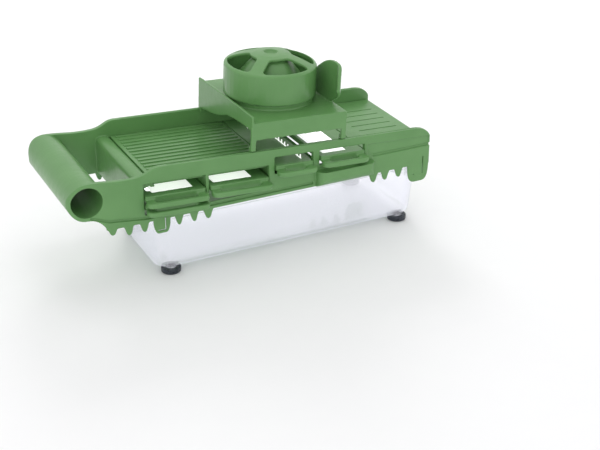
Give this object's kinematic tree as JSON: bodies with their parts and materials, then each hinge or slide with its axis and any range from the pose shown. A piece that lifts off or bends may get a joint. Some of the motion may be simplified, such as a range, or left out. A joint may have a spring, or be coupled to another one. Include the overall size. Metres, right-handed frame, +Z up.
{
  "type": "mandoline slicer",
  "caption": "Mandoline slicer on a clear catch container: tube handle, ribbed ramp, slide-in blade and comb inserts with finger loops, and a hand guard with a round plunger knob.",
  "frame": {"origin": "middle of the footprint of the whole object, on the plane that the feet stand on", "axes": "+X from the handle tube to the outfeed end, +Y away from the insert loops, +Z up"},
  "size_m": [0.366, 0.14, 0.18],
  "materials": {
    "frame_plastic": "satin-gloss moulded sage green",
    "insert_plastic": "satin-gloss moulded sage green",
    "guard_plastic": "satin-gloss moulded sage green",
    "plunger_plastic": "satin-gloss moulded sage green",
    "clear_plastic": "clear polished, faint lilac-grey",
    "blade_steel": "bright polished stainless",
    "spike_steel": "bright stainless",
    "foot_rubber": "smooth black"
  },
  "bodies": {
    "container": {"container": "clear_plastic", "foot_front_left": "foot_rubber", "foot_front_right": "foot_rubber", "foot_back_left": "foot_rubber", "foot_back_right": "foot_rubber"},
    "frame": {"frame": "frame_plastic", "infeed_ramp": "frame_plastic", "outfeed_deck": "frame_plastic"},
    "slicing_insert": {"slicing_tray": "insert_plastic", "slicing_blade": "blade_steel"},
    "julienne_insert": {"julienne_tray": "insert_plastic", "julienne_comb": "blade_steel"},
    "thick_slicing_insert": {"thick_slicing_tray": "insert_plastic", "thick_slicing_blade": "blade_steel"},
    "grating_insert": {"grating_tray": "insert_plastic", "grating_blade": "blade_steel"},
    "thin_slicing_insert": {"thin_slicing_tray": "insert_plastic", "thin_slicing_blade": "blade_steel"},
    "guard": {"guard": "guard_plastic"},
    "plunger": {"knob_cap": "plunger_plastic", "plunger_sleeve": "plunger_plastic", "spike_disc": "plunger_plastic", "spike_1": "spike_steel", "spike_2": "spike_steel", "spike_3": "spike_steel", "spike_4": "spike_steel", "spike_5": "spike_steel", "spike_6": "spike_steel"}
  },
  "joints": [
    {"name": "frame_lift", "type": "slide", "parent": "container", "child": "frame", "axis": [0, 0, 1], "range_m": [0, 0.08]},
    {"name": "slicing_insert_slide", "type": "slide", "parent": "frame", "child": "slicing_insert", "axis": [0, -1, 0], "range_m": [0, 0.13]},
    {"name": "julienne_insert_slide", "type": "slide", "parent": "frame", "child": "julienne_insert", "axis": [0, -1, 0], "range_m": [0, 0.13]},
    {"name": "thick_slicing_insert_slide", "type": "slide", "parent": "frame", "child": "thick_slicing_insert", "axis": [0, -1, 0], "range_m": [0, 0.13]},
    {"name": "grating_insert_slide", "type": "slide", "parent": "frame", "child": "grating_insert", "axis": [0, -1, 0], "range_m": [0, 0.13]},
    {"name": "thin_slicing_insert_slide", "type": "slide", "parent": "frame", "child": "thin_slicing_insert", "axis": [0, -1, 0], "range_m": [0, 0.13]},
    {"name": "guard_slide", "type": "slide", "parent": "frame", "child": "guard", "axis": [0.9988, 0, -0.0497], "range_m": [-0.086, 0.068]},
    {"name": "plunger_lift", "type": "slide", "parent": "guard", "child": "plunger", "axis": [0.0497, 0, 0.9988], "range_m": [0, 0.035]}
  ]
}
